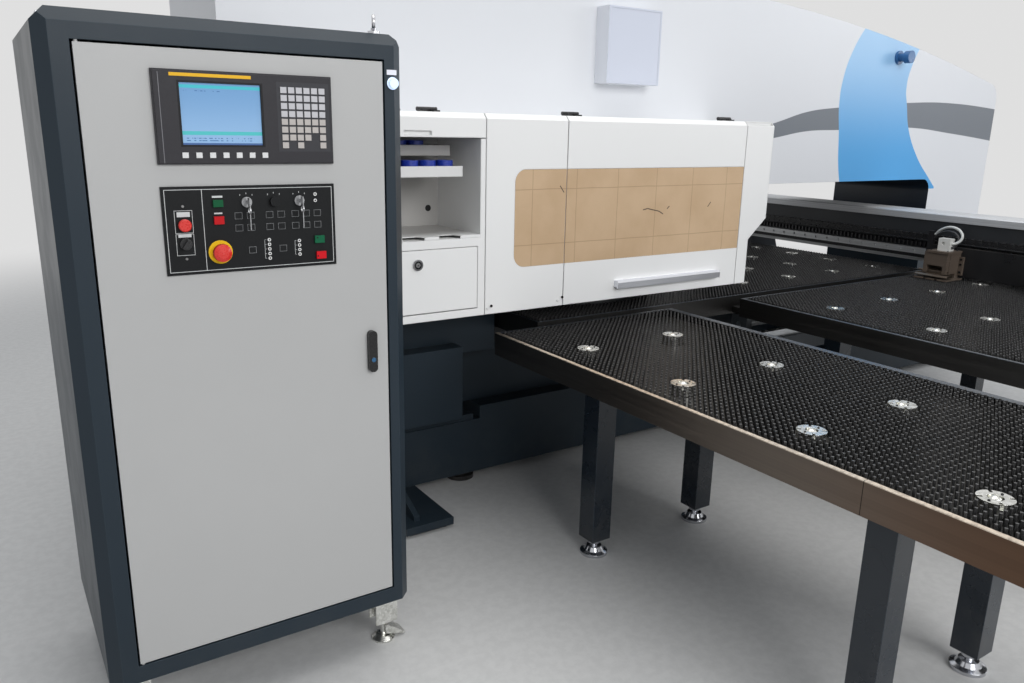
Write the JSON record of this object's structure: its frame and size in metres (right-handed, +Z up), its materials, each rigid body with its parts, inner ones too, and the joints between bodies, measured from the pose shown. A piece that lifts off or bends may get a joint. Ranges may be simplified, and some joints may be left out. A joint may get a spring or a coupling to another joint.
{
  "type": "turret punch press",
  "caption": "CNC turret punch press: closed O-shaped frame, guarded turret, brush tables, a cross beam with sheet clamps, and a free-standing control cabinet",
  "frame": {"origin": "centre of the footprint's bounding box, on the floor", "axes": "X along the frame from the control cabinet to the beam, Y across the machine away from the operator, Z up"},
  "size_m": [5.422, 5.46, 2.143],
  "materials": {
    "slate_paint": "satin slate powder coat with fine texture",
    "frame_white": "satin cool white paint with a blue stripe and a grey band",
    "hood_white": "smooth warm white powder coat",
    "door_grey": "light grey powder coat",
    "dark_metal": "black oxide and black paint",
    "grey_metal": "machined cast steel, grey paint",
    "blue_cap": "blue paint",
    "kraft_film": "acrylic pane under brown kraft protective film",
    "brushed_panel": "brushed stainless sheet with a warm reflection",
    "bristles": "black nylon bristles",
    "zinc": "bright zinc plate",
    "steel": "ground steel",
    "chrome": "bright plated steel",
    "aluminium": "extruded aluminium",
    "bronze_paint": "worn bronze-brown coating",
    "hose": "light grey air hose",
    "holder_blue": "deep blue plastic",
    "bezel": "dark grey moulded bezel with pale keys",
    "screen": "lit screen with a pale blue page",
    "panel_black": "black printed panel with coloured keys",
    "red_plastic": "red plastic",
    "black_plastic": "black plastic",
    "lamp": "lit white lamp lens in a chrome ring",
    "light_box_white": "opal front panel in a white case",
    "gear_grey": "galvanised plate with dark drives"
  },
  "bodies": {
    "machine": {"base_frame": "slate_paint", "levelling_feet": "dark_metal", "upper_frame": "frame_white", "lifting_pins": "blue_cap", "light_box": "light_box_white", "hood_shells": "hood_white", "hood_window": "kraft_film", "hood_hinges": "dark_metal", "tool_cabinet": "hood_white", "tool_trays": "hood_white", "tool_holders": "holder_blue", "turret_drive": "grey_metal", "ram_cylinder": "grey_metal", "way_rails": "steel", "beam_drive": "grey_metal", "centre_table": "brushed_panel", "centre_brushes": "bristles", "side_tables": "brushed_panel", "side_brushes": "bristles", "table_legs": "slate_paint", "ball_units": "zinc", "cabinet_shell": "slate_paint", "control_gear": "gear_grey", "cabinet_feet": "zinc", "lifting_eyes": "steel", "pilot_lamp": "lamp"},
    "upper_disc": {"upper_turret": "steel", "punches": "steel"},
    "lower_disc": {"lower_turret": "steel", "dies": "steel"},
    "ram": {"ram": "chrome"},
    "beam": {"cross_beam": "grey_metal", "beam_cover": "aluminium", "guide_rails": "steel", "gear_rack": "dark_metal", "energy_chain": "black_plastic", "saddles": "grey_metal"},
    "screw": {"ball_screw": "steel"},
    "carriage": {"carriage": "dark_metal", "carriage_motor": "dark_metal", "clamp_bodies": "bronze_paint", "clamp_hoses": "hose"},
    "jaws": {"clamp_jaws": "bronze_paint"},
    "pinion": {"pinion": "steel"},
    "hood_door": {"hood_door": "hood_white", "door_window": "kraft_film", "door_handle": "aluminium"},
    "tool_flap": {"tool_flap": "hood_white"},
    "tool_door": {"tool_door": "hood_white"},
    "tool_lock": {"tool_lock": "chrome"},
    "cabinet_door": {"cabinet_door": "door_grey", "display_unit": "bezel", "display_screen": "screen", "operator_panel": "panel_black"},
    "swing_handle": {"swing_handle": "black_plastic"},
    "emergency_stop": {"emergency_stop": "red_plastic"},
    "stop_button": {"stop_button": "red_plastic"},
    "mode_selector": {"mode_selector": "black_plastic"},
    "key_left": {"key_switch_left": "steel"},
    "key_right": {"key_switch_right": "steel"}
  },
  "joints": [
    {"name": "turret_index", "type": "hinge", "parent": "machine", "child": "upper_disc", "pos_m": [-0.53, 0, 0.9], "axis": [0, 0, 1], "continuous": true},
    {"name": "lower_index", "type": "hinge", "parent": "machine", "child": "lower_disc", "pos_m": [-0.53, 0, 0.7], "axis": [0, 0, 1], "continuous": true},
    {"name": "ram_stroke", "type": "slide", "parent": "machine", "child": "ram", "axis": [0, 0, -1], "range_m": [0, 0.03]},
    {"name": "beam_travel", "type": "slide", "parent": "machine", "child": "beam", "axis": [1, 0, 0], "range_m": [-1.15, 0]},
    {"name": "screw_turn", "type": "hinge", "parent": "machine", "child": "screw", "pos_m": [0.4, -0.45, 0.56], "axis": [1, 0, 0], "range_deg": [-11720, 10]},
    {"name": "carriage_travel", "type": "slide", "parent": "beam", "child": "carriage", "axis": [0, 1, 0], "range_m": [0, 2.5]},
    {"name": "pinion_turn", "type": "hinge", "parent": "carriage", "child": "pinion", "pos_m": [1.45867, -1.7, 0.93], "axis": [0, 0, 1], "range_deg": [-4520, 20]},
    {"name": "jaw_close", "type": "hinge", "parent": "carriage", "child": "jaws", "pos_m": [1.345, -0.86, 0.816], "axis": [0, -1, 0], "range_deg": [0, 9]},
    {"name": "hood_door_swing", "type": "hinge", "parent": "machine", "child": "hood_door", "pos_m": [-0.5305, -0.65, 1.556], "axis": [-1, 0, 0], "range_deg": [0, 95]},
    {"name": "tool_flap_swing", "type": "hinge", "parent": "machine", "child": "tool_flap", "pos_m": [-1.615, -0.65, 1.556], "axis": [-1, 0, 0], "range_deg": [0, 95]},
    {"name": "tool_door_swing", "type": "hinge", "parent": "machine", "child": "tool_door", "pos_m": [-1.615, -0.722, 0.8855], "axis": [1, 0, 0], "range_deg": [0, 90]},
    {"name": "tool_lock_turn", "type": "hinge", "parent": "tool_door", "child": "tool_lock", "pos_m": [-1.621, -0.73, 1.048], "axis": [0, 1, 0], "range_deg": [0, 90]},
    {"name": "cabinet_door_swing", "type": "hinge", "parent": "machine", "child": "cabinet_door", "pos_m": [-2.634, -1.223, 0.93], "axis": [0, 0, -1], "range_deg": [0, 110]},
    {"name": "swing_handle_turn", "type": "hinge", "parent": "cabinet_door", "child": "swing_handle", "pos_m": [-2.012, -1.229, 0.948], "axis": [0, 1, 0], "range_deg": [0, 90]},
    {"name": "estop_press", "type": "slide", "parent": "cabinet_door", "child": "emergency_stop", "axis": [0, 1, 0], "range_m": [0, 0.006], "stiffness_N_per_m": 1200},
    {"name": "stop_press", "type": "slide", "parent": "cabinet_door", "child": "stop_button", "axis": [0, 1, 0], "range_m": [0, 0.004], "stiffness_N_per_m": 600},
    {"name": "mode_turn", "type": "hinge", "parent": "cabinet_door", "child": "mode_selector", "pos_m": [-2.457, -1.233, 1.233], "axis": [0, 1, 0], "range_deg": [-45, 45]},
    {"name": "key_left_turn", "type": "hinge", "parent": "cabinet_door", "child": "key_left", "pos_m": [-2.316, -1.233, 1.322], "axis": [0, 1, 0], "range_deg": [0, 60]},
    {"name": "key_right_turn", "type": "hinge", "parent": "cabinet_door", "child": "key_right", "pos_m": [-2.191, -1.233, 1.322], "axis": [0, 1, 0], "range_deg": [0, 60]}
  ],
  "couplings": [
    {"joint": "lower_index", "follows": "turret_index", "ratio": 1},
    {"joint": "screw_turn", "follows": "beam_travel", "rad_per_m": 157.08},
    {"joint": "pinion_turn", "follows": "carriage_travel", "rad_per_m": -31.416}
  ]
}
